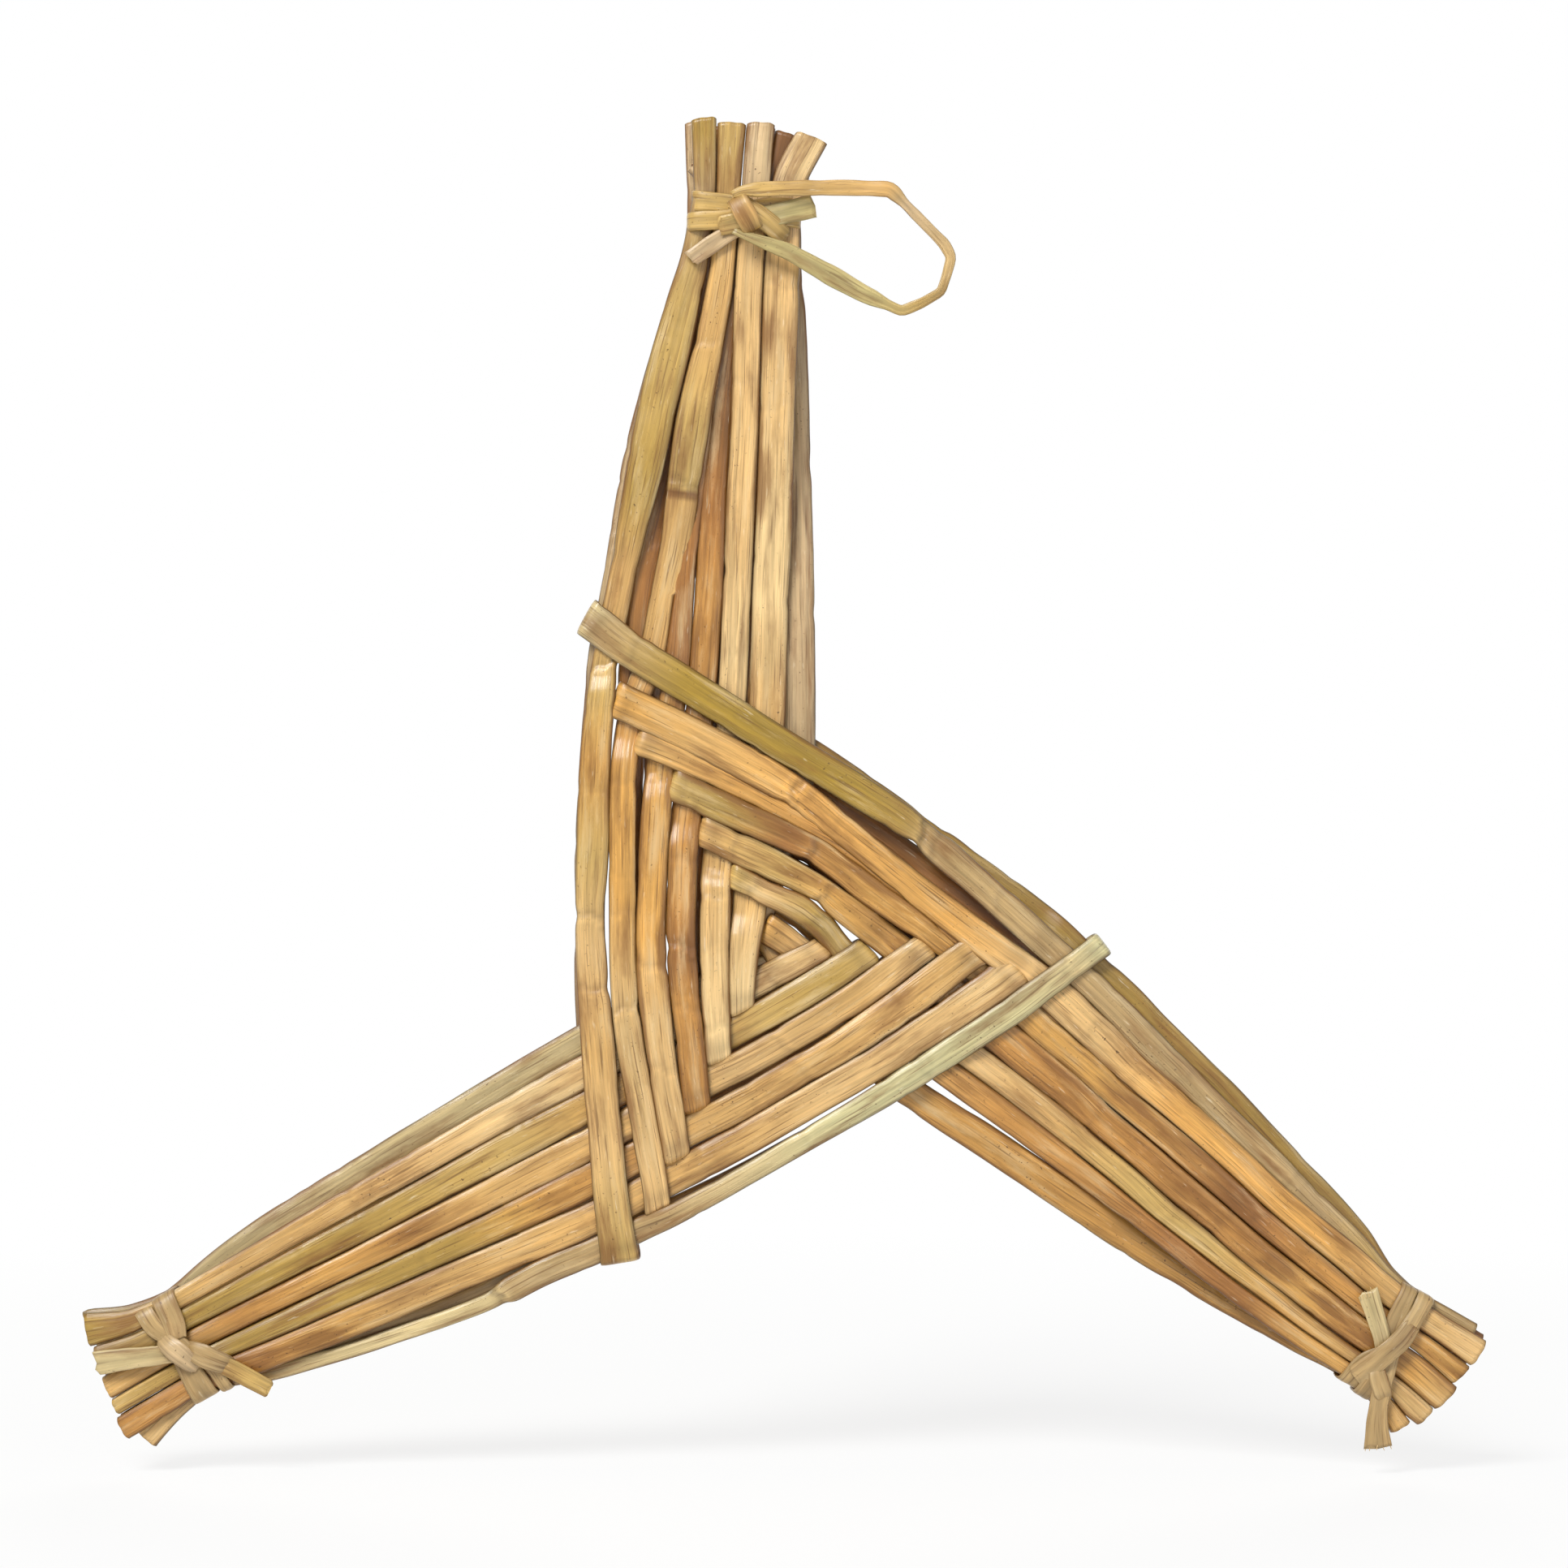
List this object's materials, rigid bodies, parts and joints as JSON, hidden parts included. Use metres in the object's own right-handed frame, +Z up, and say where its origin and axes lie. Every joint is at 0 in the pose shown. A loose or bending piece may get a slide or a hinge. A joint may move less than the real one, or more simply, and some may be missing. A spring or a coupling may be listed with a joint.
{
  "type": "brigid cross",
  "caption": "Wall-hung Brigid cross with swirling arms woven from flattened dried rushes, knotted strip ties at the ends and a hanging loop.",
  "frame": {"origin": "centre of the weave on the wall plane, behind the cross", "axes": "+Z up the top arm, +X to the right as seen from the front, +Y into the wall; the front faces -Y"},
  "size_m": [0.3031, 0.0163, 0.2854],
  "materials": {
    "tan_rush": "satin",
    "pale_rush": "satin",
    "orange_rush": "satin",
    "brown_rush": "satin",
    "olive_rush": "satin",
    "green_rush": "satin",
    "pale_green_rush": "satin",
    "split_rush": "satin",
    "split_green_rush": "satin"
  },
  "bodies": {
    "cross": {"top_rush_1": "olive_rush", "top_rush_2": "tan_rush", "top_rush_3": "orange_rush", "top_rush_4": "brown_rush", "top_rush_5": "pale_rush", "top_rush_6": "pale_rush", "right_rush_1": "green_rush", "right_rush_2": "orange_rush", "right_rush_3": "tan_rush", "right_rush_4": "brown_rush", "right_rush_5": "tan_rush", "right_rush_6": "olive_rush", "right_rush_7": "tan_rush", "left_rush_1": "pale_green_rush", "left_rush_2": "tan_rush", "left_rush_3": "tan_rush", "left_rush_4": "orange_rush", "left_rush_5": "olive_rush", "left_rush_6": "pale_rush", "top_tie": "split_rush", "right_tie": "split_rush", "left_tie": "split_rush", "top_knot": "split_rush"},
    "loop": {"hanging_loop": "split_green_rush"}
  },
  "joints": [
    {"name": "loop_swing", "type": "hinge", "parent": "cross", "child": "loop", "pos_m": [-0.0052, -0.01487, 0.16], "axis": [0, -1, 0], "range_deg": [-45, 105]}
  ]
}
